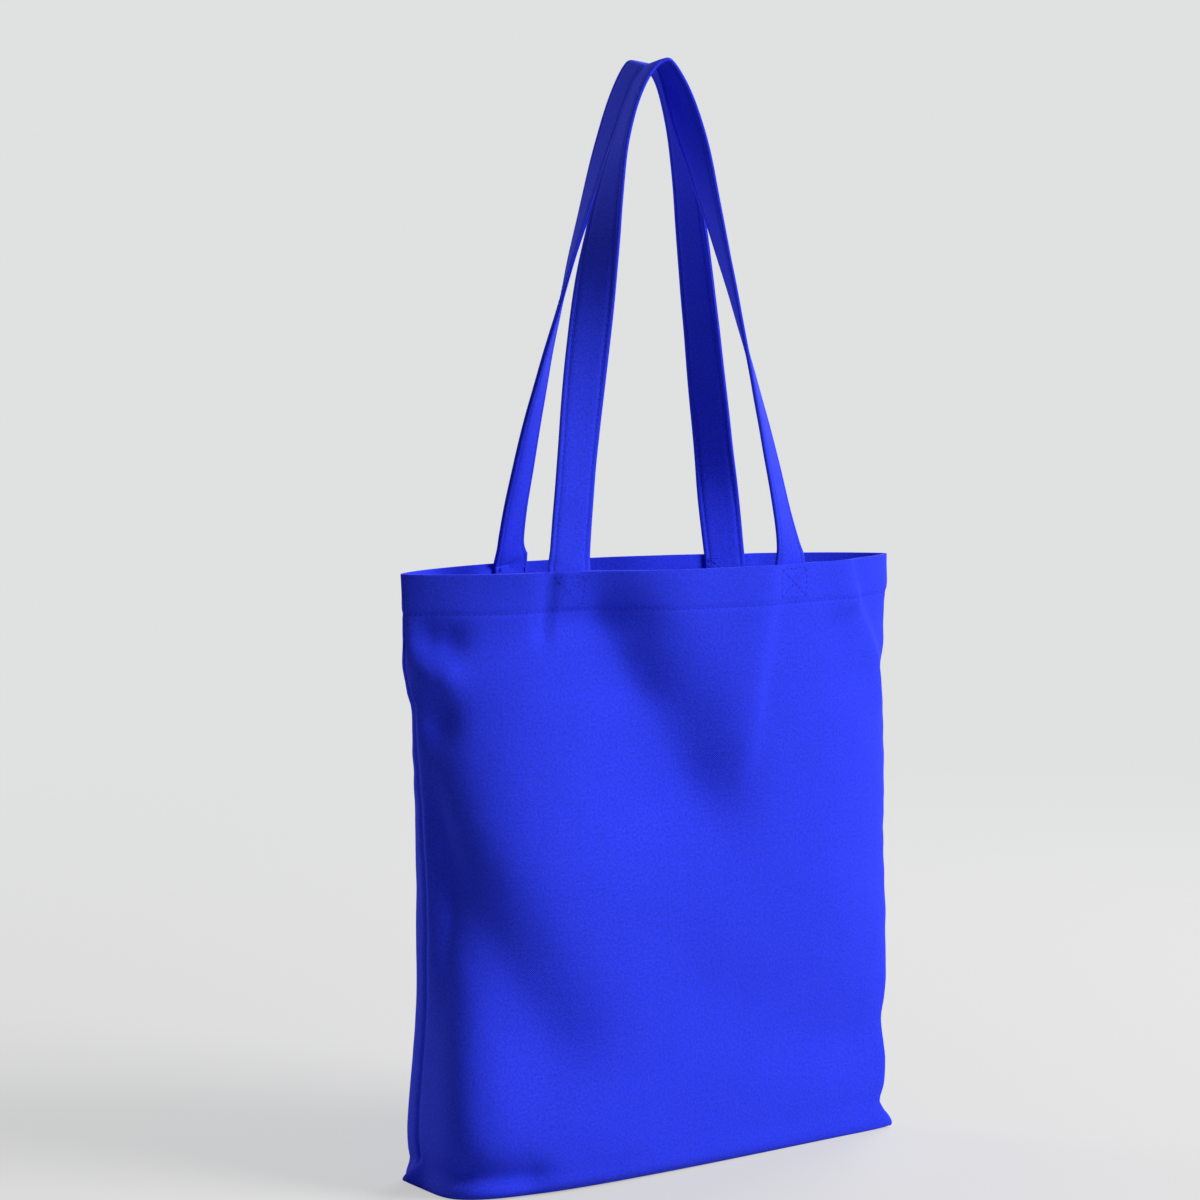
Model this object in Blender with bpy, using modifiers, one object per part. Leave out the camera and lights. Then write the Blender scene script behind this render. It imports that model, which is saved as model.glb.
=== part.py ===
"""A cotton tote bag with two long shoulder handles, standing open on its base.

Three sewn pieces: the bag body, one folded canvas shell with a doubled hem round its mouth, and two
flat handles sewn to the inside of the hem. Metres, +Z up. X runs along the width of the bag, the
front faces -Y, and the origin lies on the floor under the middle of the mouth.
"""
import math

import bpy
import bmesh
import numpy as np
from mathutils import Vector

# Bag body
HEIGHT = 0.403            # floor to rim
MOUTH_WIDTH = 0.375       # side seam to side seam at the rim
CLOTH = 0.0010            # one layer of canvas
HEM_DEPTH = 0.026         # rim to hem stitching
HEM_THICKNESS = 0.0022    # turned hem, with its folded allowance
BASE_ROUND = 0.009        # soft turn from the walls into the base
EAR_LENGTH = 0.011        # how far a bottom corner sticks out
EAR_HEIGHT = 0.020        # where it leaves the side seam
EAR_LIFT = 0.006          # how far its tip stands off the floor
EAR_SPREAD = 0.035        # share of a panel's width drawn into it

# Handles
STRAP_WIDTH = 0.0285
STRAP_THICKNESS = 0.0030  # canvas folded to four layers and topstitched
FOOT_SPACING = 0.1648     # between the feet of one handle
FOOT_LENGTH = 0.023       # sewn down below the rim
SEWN_GAP = 0.0005         # foot to hem

# The bow of each panel off the line between the side seams: depth, share by which the bow is deeper
# at the left, how pointed the section's left and right ends are (under 1 is boxy), and how flat it is
# between them (2 is round)
FRONT_RIM = (0.0560, 0.00, 1.5, 1.5, 2.0)
FRONT_MIDDLE = (0.0530, 0.25, 0.8, 1.3, 3.4)
FRONT_BASE = (0.0480, 0.85, 0.3, 0.45, 2.0)
BACK_RIM = (0.0625, 0.00, 1.5, 1.5, 2.0)
BACK_MIDDLE = (0.0560, 0.05, 0.8, 1.2, 2.4)
BACK_BASE = (0.0500, 0.05, 0.5, 0.8, 2.0)
MIDDLE_AT = 0.50          # share of the height where the middle sections hold
TANGENT_STEP = 0.01       # share of a section's length over which its direction is taken

# Side seams by share of height: how far each stands in from the mouth's corner, and its Y
LEFT_SEAM = ((0.0, 0.0020, -0.012), (0.05, 0.009, -0.012), (0.14, 0.0085, -0.012),
             (0.45, 0.0110, -0.010), (0.78, 0.0075, -0.004), (0.90, 0.0030, -0.001), (1.0, 0.0, 0.0))
RIGHT_SEAM = ((0.0, 0.0045, 0.0), (0.05, 0.0055, 0.0), (0.12, 0.0040, 0.0),
              (0.20, 0.0050, 0.0), (0.40, 0.0030, 0.0), (0.75, 0.0050, 0.0), (1.0, 0.0, 0.0))

# Soft folds of a panel, each along a line: its start and end (across from -1 to 1, share of height),
# its height (a valley is negative), and how far it reaches to the left, to the right and past its ends
FRONT_FOLDS = (
    ((-0.36, 0.97), (0.05, 0.60), -0.0150, 0.070, 0.035, 0.050),
    ((-1.02, 0.55), (-0.50, 0.20), -0.0125, 0.040, 0.033, 0.040),
    ((-0.86, 0.045), (-0.62, 0.035), -0.0060, 0.010, 0.012, 0.012),
    ((-0.95, 0.905), (-0.80, 0.900), -0.0060, 0.012, 0.014, 0.012),
    ((-0.95, 0.855), (-0.84, 0.850), 0.0060, 0.013, 0.014, 0.012),
    ((-0.97, 0.760), (-0.86, 0.755), -0.0100, 0.030, 0.020, 0.018),
    ((0.335, 0.99), (0.25, 0.73), 0.0040, 0.010, 0.018, 0.030),
    ((0.72, 0.93), (0.95, 0.78), 0.0040, 0.011, 0.016, 0.012),
    ((0.10, 0.30), (0.75, 0.18), -0.0020, 0.030, 0.030, 0.050),
)
BACK_FOLDS = (
    ((0.35, 0.92), (-0.15, 0.52), -0.0080, 0.036, 0.055, 0.050),
    ((0.98, 0.50), (0.47, 0.20), -0.0060, 0.032, 0.034, 0.040),
    ((-0.70, 0.80), (-0.82, 0.45), 0.0030, 0.018, 0.018, 0.030),
    ((-0.10, 0.30), (-0.70, 0.16), -0.0016, 0.030, 0.030, 0.050),
)
SEAM_CALM = 0.10          # share of a panel's half width beside a seam where the folds run out

# Each leg of a handle is one Bezier curve from its foot at the rim to the crown. A crown has its X, Y
# and height above the rim, the slope in Y by which the strap runs over it, and how much higher the
# strap's back edge stands than its front one, as a share of the width. A leg has the pull at its foot,
# its reach at the crown, and the angles it has turned by at the stated shares of its way up.
FRONT_CROWN = ((-0.0020, -0.0152, 0.3322), -0.15, -0.09)
BACK_CROWN = ((-0.0020, 0.0160, 0.3320), -0.10, 0.16)
TURNS_AT = (0.0, 0.15, 0.30, 0.45, 0.60, 0.75, 1.0)
FRONT_LEFT_LEG = ((0.0181, 0.0322, 0.0200), 0.0419, (0.01, 0.01, 0.06, 0.48, 1.15, 1.73, 1.93))
FRONT_RIGHT_LEG = ((0.0008, -0.0010, 0.0200), 0.0160, (0.26, 0.64, 0.81, 1.08, 1.40, 1.80, 1.80))
BACK_LEFT_LEG = ((-0.0174, -0.0207, 0.0300), 0.0176, (0.43, 0.54, 0.68, 0.98, 1.26, 1.52, 1.63))
BACK_RIGHT_LEG = ((-0.0199, 0.0322, 0.3109), 0.0330, (0.75, 0.98, 1.22, 1.46, 1.52, 1.60, 1.69))
FLAT_UNTIL = 0.090        # share of a leg where it has let go of the foot's direction
FLAT_FROM = 0.75          # share of a leg from where it settles to the crown's direction

# Fineness of the meshes
COLUMNS = 42              # faces across one panel
SEAM_CROWDING = 0.55      # how much closer the columns stand at the side seams
SECTION_POINTS = 400      # points that measure the length along one section
WALL_ROWS = 19            # rows from the base's turn to the hem
BASE_CROWDING = 0.28      # how much closer they stand near the base
STRAP_STEPS = 30          # faces along one leg of a handle
STRAP_FACES = 3           # faces across a strap

CANVAS_BLUE = (0.022, 0.036, 0.62, 1.0)
WEBBING_BLUE = (0.020, 0.033, 0.58, 1.0)


def curve_through(points, share):
    """A smooth curve through points sorted by their first value, read at one share."""
    xs = [p[0] for p in points]
    ys = [p[1] for p in points]
    last = len(points) - 1
    i = min(max(int(np.searchsorted(xs, share, side="right")) - 1, 0), last - 1)
    span = xs[i + 1] - xs[i]
    t = min(max((share - xs[i]) / span, 0.0), 1.0)
    here = (ys[min(i + 1, last)] - ys[max(i - 1, 0)]) / (xs[min(i + 1, last)] - xs[max(i - 1, 0)])
    there = (ys[min(i + 2, last)] - ys[i]) / (xs[min(i + 2, last)] - xs[i])
    return ((1 + 2 * t) * (1 - t) ** 2 * ys[i] + t * (1 - t) ** 2 * span * here
            + t * t * (3 - 2 * t) * ys[i + 1] + t * t * (t - 1) * span * there)


def smooth_step(value):
    """Ease from 0 to 1."""
    value = min(max(value, 0.0), 1.0)
    return value * value * (3 - 2 * value)


def seam_points(share):
    """X and Y of the left and the right side seam at a share of the height."""
    corner = MOUTH_WIDTH / 2
    left = (-corner + curve_through([(h, inset) for h, inset, _ in LEFT_SEAM], share),
            curve_through([(h, y) for h, _, y in LEFT_SEAM], share))
    right = (corner - curve_through([(h, inset) for h, inset, _ in RIGHT_SEAM], share),
             curve_through([(h, y) for h, _, y in RIGHT_SEAM], share))
    return left, right


def bow_at(front, share):
    """Depth, left share, end shapes and flatness of one panel's section at a share of the height."""
    rim, middle, base = ((FRONT_RIM, FRONT_MIDDLE, FRONT_BASE) if front
                         else (BACK_RIM, BACK_MIDDLE, BACK_BASE))
    if share > MIDDLE_AT:
        low, high, t = middle, rim, smooth_step((share - MIDDLE_AT) / (1 - MIDDLE_AT))
    else:
        low, high, t = base, middle, smooth_step(share / MIDDLE_AT)
    return [a + (b - a) * t for a, b in zip(low, high)]


def fold_height(front, across, share):
    """How far the folds of a panel lift the cloth outwards at one place."""
    half = MOUTH_WIDTH / 2
    total = 0.0
    for (a0, h0), (a1, h1), height, left, right, past in (FRONT_FOLDS if front else BACK_FOLDS):
        run = np.array(((a1 - a0) * half, (h1 - h0) * HEIGHT))
        length = float(np.hypot(*run))
        ahead = run / length
        place = np.array(((across - a0) * half, (share - h0) * HEIGHT))
        along = float(place @ ahead)
        beyond = max(-along, along - length, 0.0)
        beside = float(place[1] * ahead[0] - place[0] * ahead[1])
        reach = left if beside < 0.0 else right
        total += height * math.exp(-(beside / reach) ** 2 - (beyond / past) ** 2)
    return total


def panel_line(front, z, inset=0.0):
    """Outer points of one panel at height z, from the left seam to the right one.

    They are spread by length along the cloth, closer together at the seams. The inset narrows the
    section where the wall turns into the base.
    """
    share = z / HEIGHT
    (left_x, left_y), (right_x, right_y) = seam_points(share)
    depth, skew, left_end, right_end, flatness = bow_at(front, share)
    spread = np.linspace(0.0, 1.0, SECTION_POINTS)
    angle = math.pi * (spread - np.sin(2 * math.pi * spread) / (2 * math.pi))
    along = -np.cos(angle)
    end = left_end + (right_end - left_end) * (1 + along) / 2
    bow = (depth - inset) * (1 - skew * along) * (1 - np.abs(along) ** flatness) ** (end / 2)
    middle_x, half = (left_x + right_x) / 2, (right_x - left_x) / 2 - inset / 2
    xs = middle_x + half * along
    ys = left_y + (right_y - left_y) * (1 + along) / 2 + (-bow if front else bow)
    length = np.concatenate(([0.0], np.cumsum(np.hypot(np.diff(xs), np.diff(ys)))))
    length /= length[-1]
    even = np.linspace(0.0, 1.0, COLUMNS + 1)
    places = even - SEAM_CROWDING * np.sin(2 * math.pi * even) / (2 * math.pi)
    ear = max(0.0, 1 - z / EAR_HEIGHT)
    points = []
    for place in places:
        before, after = max(place - TANGENT_STEP, 0.0), min(place + TANGENT_STEP, 1.0)
        tangent = Vector((np.interp(after, length, xs) - np.interp(before, length, xs),
                          np.interp(after, length, ys) - np.interp(before, length, ys)))
        outward = Vector((tangent.y, -tangent.x)).normalized() * (1 if front else -1)
        across = 2 * place - 1
        from_seam = 1 - abs(across)
        lift = fold_height(front, across, share) * smooth_step(from_seam / SEAM_CALM)
        pinch = ear * math.exp(-(from_seam / EAR_SPREAD) ** 1.5)
        points.append(Vector((
            np.interp(place, length, xs) + outward.x * lift + math.copysign(EAR_LENGTH * pinch, across),
            np.interp(place, length, ys) + outward.y * lift,
            z + EAR_LIFT * pinch)))
    return points


def wall_levels():
    """Heights of the loft's rows with the inset of each: the base's turn, the wall, the hem."""
    levels = []
    for angle in (0.0, 30.0, 60.0):
        turn = math.radians(angle)
        levels.append((BASE_ROUND * (1 - math.cos(turn)), BASE_ROUND * (1 - math.sin(turn))))
    hem = HEIGHT - HEM_DEPTH
    for i in range(WALL_ROWS):
        t = i / (WALL_ROWS - 1)
        risen = (1 - BASE_CROWDING) * t + BASE_CROWDING * t * t
        levels.append((BASE_ROUND + (hem - BASE_ROUND) * risen, 0.0))
    levels += [(hem + HEM_THICKNESS, 0.0), (hem + HEM_DEPTH / 2, 0.0), (HEIGHT, 0.0)]
    return levels


def link(name, mesh, material, collection):
    """Put a mesh in the scene as one named piece."""
    mesh.materials.append(material)
    piece = bpy.data.objects.new(name, mesh)
    collection.objects.link(piece)
    return piece


def cloth_material(name, colour):
    """Matt woven cotton in one colour."""
    material = bpy.data.materials.new(name)
    material.use_nodes = True
    shader = material.node_tree.nodes["Principled BSDF"]
    shader.inputs["Base Color"].default_value = colour
    shader.inputs["Roughness"].default_value = 0.85
    shader.inputs["Metallic"].default_value = 0.0
    return material


def make_body(material, collection):
    """Loft the two panels from the base to the rim, close the base and thicken it all inwards."""
    shell = bmesh.new()
    rings = []
    for z, inset in wall_levels():
        front = panel_line(True, z, inset)
        back = panel_line(False, z, inset)
        seam = [(f + b) / 2 for f, b in ((front[0], back[0]), (front[-1], back[-1]))]
        loop = [seam[0]] + front[1:-1] + [seam[1]] + back[-2:0:-1]
        rings.append([shell.verts.new(point) for point in loop])
    count = len(rings[0])
    for low, high in zip(rings, rings[1:]):
        for i in range(count):
            j = (i + 1) % count
            shell.faces.new((low[i], low[j], high[j], high[i]))
    base = rings[0]
    for i in range(COLUMNS):
        near, far = (base[i], base[i + 1]), (base[(count - i) % count], base[count - i - 1])
        corners = list(dict.fromkeys((near[0], far[0], far[1], near[1])))
        shell.faces.new(corners)
    bmesh.ops.recalc_face_normals(shell, faces=shell.faces)
    mesh = bpy.data.meshes.new("bag_body")
    shell.to_mesh(mesh)
    shell.free()
    body = link("bag_body", mesh, material, collection)
    hem = body.vertex_groups.new(name="hem")
    above = HEIGHT - HEM_DEPTH + HEM_THICKNESS / 2
    hem.add([v.index for v in mesh.vertices if v.co.z > above], 1.0, "REPLACE")
    thicken = body.modifiers.new("canvas", "SOLIDIFY")
    thicken.thickness = HEM_THICKNESS
    thicken.offset = -1.0
    thicken.use_even_offset = True
    thicken.vertex_group = "hem"
    thicken.thickness_vertex_group = CLOTH / HEM_THICKNESS
    mesh.shade_smooth()
    return body


def foot_rows(front, side):
    """Points of a strap's sewn foot, lowest row first, laid against the inside of the hem."""
    reach = HEM_THICKNESS + SEWN_GAP + STRAP_THICKNESS / 2
    rows = []
    for z in (HEIGHT - FOOT_LENGTH, HEIGHT - HEM_DEPTH / 2, HEIGHT):
        line = panel_line(front, z)
        xs = [p.x for p in line]
        ys = [p.y for p in line]
        row = []
        for k in range(STRAP_FACES + 1):
            x = side * FOOT_SPACING / 2 + STRAP_WIDTH * (k / STRAP_FACES - 0.5)
            ahead, behind = x + STRAP_WIDTH / 8, x - STRAP_WIDTH / 8
            slope = (np.interp(ahead, xs, ys) - np.interp(behind, xs, ys)) / (ahead - behind)
            inward = Vector((-slope, 1.0)).normalized() * (1 if front else -1)
            row.append(Vector((x + inward.x * reach, np.interp(x, xs, ys) + inward.y * reach, z)))
        rows.append(row)
    return rows


def leg_rows(front, side, foot_top):
    """Points of one leg from above its foot to the crown, twisting from the hem's line to flat."""
    (crown_x, crown_y, rise), slope, lean = FRONT_CROWN if front else BACK_CROWN
    leg = {(True, -1): FRONT_LEFT_LEG, (True, 1): FRONT_RIGHT_LEG,
           (False, -1): BACK_LEFT_LEG, (False, 1): BACK_RIGHT_LEG}[front, side]
    pull, reach, turns = leg
    crown = Vector((crown_x, crown_y, HEIGHT + rise))
    foot = sum(foot_top, Vector()) / len(foot_top)
    ends = (foot, foot + Vector(pull), crown + side * reach * Vector((1.0, slope, 0.0)), crown)
    turn_sign = -1 if front == (side < 0) else 1
    foot_across = (foot_top[-1] - foot_top[0]).normalized()
    crown_across = turn_sign * Vector((-slope, 1.0, lean)).normalized()
    rows = []
    for step in range(1, STRAP_STEPS + 1):
        t = step / STRAP_STEPS
        s = 1 - t
        point = s ** 3 * ends[0] + 3 * s * s * t * ends[1] + 3 * s * t * t * ends[2] + t ** 3 * ends[3]
        heading = (3 * s * s * (ends[1] - ends[0]) + 6 * s * t * (ends[2] - ends[1])
                   + 3 * t * t * (ends[3] - ends[2])).normalized()
        turn = curve_through(tuple(zip(TURNS_AT, turns)), t)
        across = Vector((math.cos(turn), turn_sign * math.sin(turn), 0.0))
        across = across.lerp(foot_across, smooth_step(1 - t / FLAT_UNTIL))
        across = across.lerp(crown_across, smooth_step((t - FLAT_FROM) / (1 - FLAT_FROM)))
        across = (across - across.dot(heading) * heading).normalized()
        rows.append([point + across * STRAP_WIDTH * (k / STRAP_FACES - 0.5)
                     for k in range(STRAP_FACES + 1)])
    return rows


def make_handle(name, front, material, collection):
    """One strap: left foot, left leg, crown, right leg and right foot, thickened both ways."""
    left_foot, right_foot = foot_rows(front, -1), foot_rows(front, 1)
    left, right = leg_rows(front, -1, left_foot[-1]), leg_rows(front, 1, right_foot[-1])
    # Over the crown the right leg comes down with its edges the other way round
    rows = left_foot + left + [row[::-1] for row in right[-2::-1] + right_foot[::-1]]
    strap = bmesh.new()
    grid = [[strap.verts.new(point) for point in row] for row in rows]
    for low, high in zip(grid, grid[1:]):
        for k in range(STRAP_FACES):
            strap.faces.new((low[k], low[k + 1], high[k + 1], high[k]))
    mesh = bpy.data.meshes.new(name)
    strap.to_mesh(mesh)
    strap.free()
    handle = link(name, mesh, material, collection)
    thicken = handle.modifiers.new("strap", "SOLIDIFY")
    thicken.thickness = STRAP_THICKNESS
    thicken.offset = 0.0
    thicken.use_even_offset = True
    mesh.shade_smooth()
    return handle


def main():
    """Clear the scene and build the bag."""
    for old in list(bpy.data.objects):
        bpy.data.objects.remove(old, do_unlink=True)
    collection = bpy.data.collections.new("cotton_tote_bag")
    bpy.context.scene.collection.children.link(collection)
    make_body(cloth_material("canvas", CANVAS_BLUE), collection)
    webbing = cloth_material("webbing", WEBBING_BLUE)
    make_handle("front_handle", True, webbing, collection)
    make_handle("back_handle", False, webbing, collection)


main()
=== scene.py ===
"""The looks of a blue cotton tote bag with two long handles, standing open on the floor.

Metres, in the frame of the solids: +X across the bag, the front towards -Y, +Z up, the origin on
the floor under the middle of the mouth.
"""
import math

import bpy
import numpy as np
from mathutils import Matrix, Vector, noise


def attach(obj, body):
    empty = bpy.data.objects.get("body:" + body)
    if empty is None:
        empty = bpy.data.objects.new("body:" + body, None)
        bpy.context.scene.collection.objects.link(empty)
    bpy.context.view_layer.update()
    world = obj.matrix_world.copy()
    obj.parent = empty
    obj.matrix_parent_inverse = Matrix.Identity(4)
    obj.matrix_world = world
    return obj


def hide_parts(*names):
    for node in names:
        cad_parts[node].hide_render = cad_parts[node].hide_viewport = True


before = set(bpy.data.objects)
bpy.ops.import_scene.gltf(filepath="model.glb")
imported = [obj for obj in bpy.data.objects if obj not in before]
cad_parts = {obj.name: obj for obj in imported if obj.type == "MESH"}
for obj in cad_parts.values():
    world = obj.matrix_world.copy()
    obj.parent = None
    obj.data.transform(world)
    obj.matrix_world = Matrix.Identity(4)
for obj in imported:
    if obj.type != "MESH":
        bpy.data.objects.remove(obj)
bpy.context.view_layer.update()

# Bag body
HEIGHT = 0.403            # floor to rim
MOUTH_WIDTH = 0.375       # side seam to side seam at the rim
PANEL_CLOTH = 0.395       # width of the cloth of one panel
CLOTH = 0.0010            # one layer of canvas
HEM_DEPTH = 0.026         # rim to hem stitching
HEM_THICKNESS = 0.0024    # turned hem, with its folded allowance
HEM_FULL = 0.02           # share of a panel's width from a side seam to the hem's full thickness
RIM_ROUND = 0.0009        # soft fold of the canvas over the rim
RIM_FACES = 3
BASE_ROUND = 0.009        # turn of the wall into the base

# The base's two corners, drawn out like ears
EAR_LENGTH = 0.0125
EAR_HEIGHT = 0.020        # the height above the floor where they begin
EAR_LIFTS = (0.006, 0.0015)    # how far the left and the right tip stand off the floor
EAR_SPREAD = 0.035        # their width, as a share of half a panel
EAR_FALL = 1.5            # how soon they run out into the base

# Handles
STRAP_WIDTH = 0.0285
STRAP_THICKNESS = 0.0030  # four layers of canvas
FOOT_SPACING = 0.1648     # from the middle of one foot to the middle of the other
FOOT_LENGTH = 0.023       # how far a foot reaches below the rim
SEWN_GAP = 0.0004         # between the hem and the foot that is sewn to it

# The bow of each panel: depth, share by which it is deeper at the left, how pointed its two ends
# are, and how flat it is between them (2 is round)
FRONT_RIM = (0.0560, 0.00, 1.5, 1.5, 2.0)
FRONT_MIDDLE = (0.0530, 0.25, 0.8, 1.3, 3.4)
FRONT_BASE = (0.0480, 0.85, 0.38, 0.45, 2.0)
BACK_RIM = (0.0625, 0.00, 1.5, 1.5, 2.0)
BACK_MIDDLE = (0.0560, 0.05, 0.8, 1.2, 2.4)
BACK_BASE = (0.0500, 0.05, 0.5, 0.8, 2.0)
MIDDLE_AT = 0.50

# Side seams by share of height: how far each stands in from the mouth's corner, and its Y
LEFT_SEAM = ((0.0, 0.0045, -0.006), (0.035, 0.0098, -0.007), (0.055, 0.0078, -0.009),
             (0.105, 0.0052, -0.011), (0.18, 0.0066, -0.012), (0.265, 0.0098, -0.0115),
             (0.34, 0.0118, -0.011), (0.51, 0.0118, -0.009), (0.72, 0.0078, -0.005),
             (0.785, 0.0065, -0.004), (0.81, 0.0036, -0.003), (0.85, 0.0010, -0.002),
             (0.90, 0.0014, -0.001), (1.0, 0.0, 0.0))
RIGHT_SEAM = ((0.0, 0.0030, 0.0), (0.05, 0.0056, 0.0), (0.08, 0.0022, 0.0), (0.12, 0.0010, 0.0),
              (0.15, 0.0026, 0.0), (0.19, 0.0052, 0.0), (0.26, 0.0020, 0.0), (0.36, 0.0024, 0.0),
              (0.48, 0.0032, 0.0), (0.70, 0.0040, 0.0), (0.75, 0.0042, 0.0), (0.80, 0.0066, 0.0),
              (0.84, 0.0038, 0.0), (0.915, 0.0035, 0.0), (0.95, 0.0010, 0.0), (1.0, 0.0012, 0.0))

# Folds of a panel, each along a line: its start and end (across from -1 to 1, share of height),
# its height (a valley is negative), and how far it reaches left, right and past its ends
FRONT_FOLDS = (
    ((-0.33, 0.925), (0.01, 0.65), -0.0172, 0.070, 0.033, 0.040),
    ((-0.31, 0.915), (-0.15, 0.80), -0.0040, 0.026, 0.018, 0.014),
    ((-1.02, 0.585), (-0.50, 0.240), -0.0125, 0.040, 0.031, 0.038),
    ((-0.76, 0.040), (-0.54, 0.032), -0.0060, 0.008, 0.012, 0.012),
    ((-0.97, 0.895), (-0.85, 0.890), -0.0050, 0.011, 0.013, 0.012),
    ((-0.95, 0.845), (-0.86, 0.840), 0.0050, 0.012, 0.013, 0.012),
    ((-0.97, 0.765), (-0.90, 0.762), -0.0050, 0.016, 0.016, 0.012),
    ((-0.45, 0.920), (-0.18, 0.915), -0.0022, 0.012, 0.010, 0.014),
    ((0.320, 0.99), (0.235, 0.73), 0.0036, 0.024, 0.0075, 0.030),
    ((0.68, 1.00), (0.72, 0.93), 0.0028, 0.018, 0.006, 0.006),
    ((0.72, 0.93), (0.95, 0.78), 0.0028, 0.018, 0.006, 0.012),
    ((-0.485, 1.00), (-0.500, 0.90), -0.0030, 0.008, 0.0028, 0.008),
    ((0.10, 0.30), (0.75, 0.18), -0.0020, 0.030, 0.030, 0.050),
)
BACK_FOLDS = (
    ((0.35, 0.92), (-0.15, 0.52), -0.0080, 0.036, 0.055, 0.050),
    ((0.98, 0.50), (0.47, 0.20), -0.0060, 0.032, 0.034, 0.040),
    ((-0.70, 0.80), (-0.82, 0.45), 0.0030, 0.018, 0.018, 0.030),
    ((0.49, 1.00), (0.505, 0.90), -0.0020, 0.003, 0.007, 0.008),
    ((-0.10, 0.30), (-0.70, 0.16), -0.0016, 0.030, 0.030, 0.050),
)
SEAM_CALM = 0.10          # share of a panel's half width beside a seam where the folds run out

# The slack of the cloth between its folds
SLACK_SIZE = 0.055        # width of its soft hollows
SLACK_DEPTH = 0.0011
HEM_SLACK = 0.2           # share of the slack that the stiff hem keeps
HEM_CALM = 0.02           # how far below the hem the slack is back to its full depth
BASE_CALM = 0.03          # and how far above the floor
RIPPLE_SIZE = 0.016       # small uneven ripples of the canvas
RIPPLE_DEPTH = 0.00022
SEAM_SINK = 0.0017        # how deep a side seam draws the cloth in
SEAM_REACH = 0.0024       # half width of that groove
SEAM_PUCKER = 0.0007      # uneven ripples beside a side seam
PUCKER_SIZE = 0.013       # height of one of them
PUCKER_REACH = 0.016      # width of the puckered strip
PUCKER_PLACE = (0.3, 50.0)     # where the puckers lie in the noise, the second times a seam's X
HEM_SINK = 0.00045        # groove of the hem's stitching
HEM_REACH = 0.0016

# A crown: its X, Y and height above the rim, its slope in Y and its tilt. A leg: its pull at the
# foot, its reach at the crown, and the angles it has turned by at the stated shares of its way up.
FRONT_CROWN = ((-0.0020, -0.0152, 0.3322), -0.15, -0.09)
BACK_CROWN = ((-0.0020, 0.0160, 0.3320), -0.10, 0.16)
TURNS_AT = (0.0, 0.15, 0.30, 0.45, 0.60, 0.75, 1.0)
FRONT_LEFT_LEG = ((0.0181, 0.0322, 0.0200), 0.0419, (0.01, 0.01, 0.06, 0.48, 1.15, 1.73, 1.93))
FRONT_RIGHT_LEG = ((0.0008, -0.0010, 0.0200), 0.0160, (0.26, 0.64, 0.81, 1.08, 1.40, 1.80, 1.80))
BACK_LEFT_LEG = ((-0.0174, -0.0207, 0.0300), 0.0176, (0.43, 0.54, 0.68, 0.98, 1.26, 1.52, 1.63))
BACK_RIGHT_LEG = ((-0.0199, 0.0322, 0.3109), 0.0330, (0.75, 0.98, 1.22, 1.46, 1.52, 1.60, 1.69))
FLAT_UNTIL = 0.090        # share of the way up where a leg has let go of the foot's direction
FLAT_FROM = 0.75          # and where it starts to take the crown's

# The section of a strap: two stitched faces, a folded edge, and a sewn edge that is two lips
# with a slit between them
STRAP_CROWN = 0.10        # share by which a face falls towards its edges
FOLD_TURNS = (30, 60, 90, 120, 150)    # degrees round the folded edge
LIP_START = (0.7, 0.9)    # in half thicknesses past the flat, and in shoulders off the middle
SLIT_EDGE = (0.0002, 0.25)     # how far in, and in lips off the middle
SLIT_DEPTH = 0.0009

# The unevenness of a strap along its length
WAVER = 0.012             # share by which its width varies
WAVER_SIZE = 0.05
BEND = 0.0004             # how far it bends out of its plane
BEND_SIZE = 0.03
FRONT_SEEDS = ((7.3, 0.0), (1.7, 4.0))    # where a strap's waver and its bend lie in the noise
BACK_SEEDS = ((2.1, 0.0), (1.7, 9.0))

# Sewing
STRAP_STITCH_IN = 0.0035  # a handle's topstitching from its edge
STRAP_STITCH_SINK = 0.00045    # depth of the groove that it draws
STRAP_STITCH_REACH = 0.0006    # and its half width
STRAP_STITCH_STOPS = (-0.0009, -0.0005, 0.0, 0.0005, 0.0009)    # points across it
STITCH_LENGTH = 0.0029
STITCH_PITCH = 0.0035
THREAD = 0.00055          # thickness of the thread
THREAD_SIDES = 5
THREAD_ROUND = 3          # length round the thread, in thicknesses
THREAD_OFF = 0.0001       # how far the inner lines of stitches lie off their cloth
INNER_RISE = 0.0012       # how far the hem's inner line lies above the outer one
INNER_ENDS = 6            # points by which that line stops short of each seam
BOX_TOP = 0.0030          # the boxed cross at a foot, below the rim
BOX_BOTTOM = 0.0225
BOX_IN = 0.0030           # and in from the strap's edges

# Rings of a stitch: share of its length, its thickness and its height off the cloth, in threads
STITCH_RINGS = ((0.0, 0.45, -0.45), (0.2, 1.0, 0.15), (0.8, 1.0, 0.15), (1.0, 0.45, -0.45))

# Canvas and straps. A dye is given by its deepest and its brightest colour.
CANVAS_DYE = ((0.011, 0.024, 0.62, 1.0), (0.022, 0.048, 0.94, 1.0))
STRAP_DYE = ((0.010, 0.022, 0.58, 1.0), (0.021, 0.045, 0.90, 1.0))
CANVAS_PITCH = 0.00062    # from one yarn to the next
STRAP_PITCH = 0.00060
SLUBS_PER_METRE = 520.0   # thick places in the yarn
SLUB_STRETCHES = ((0.12, 1.0, 1.0), (1.0, 0.12, 1.0))    # drawn out along either set of yarns
SLUB_DETAIL = 2.0
LINT_PER_METRE = 620.0    # short fibres on the cloth
LINT_DETAIL = 1.0
CLOUDS_PER_METRE = 28.0   # soft patches of the dye
CLOUD_DETAIL = 3.0
WEAVE_TONE = 0.16         # how much each of them moves the dye from deep to bright
YARN_TONE = 0.10
SLUB_TONE = 0.34
CLOUD_TONE = 0.14
LINT_TONE = 1.6
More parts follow.
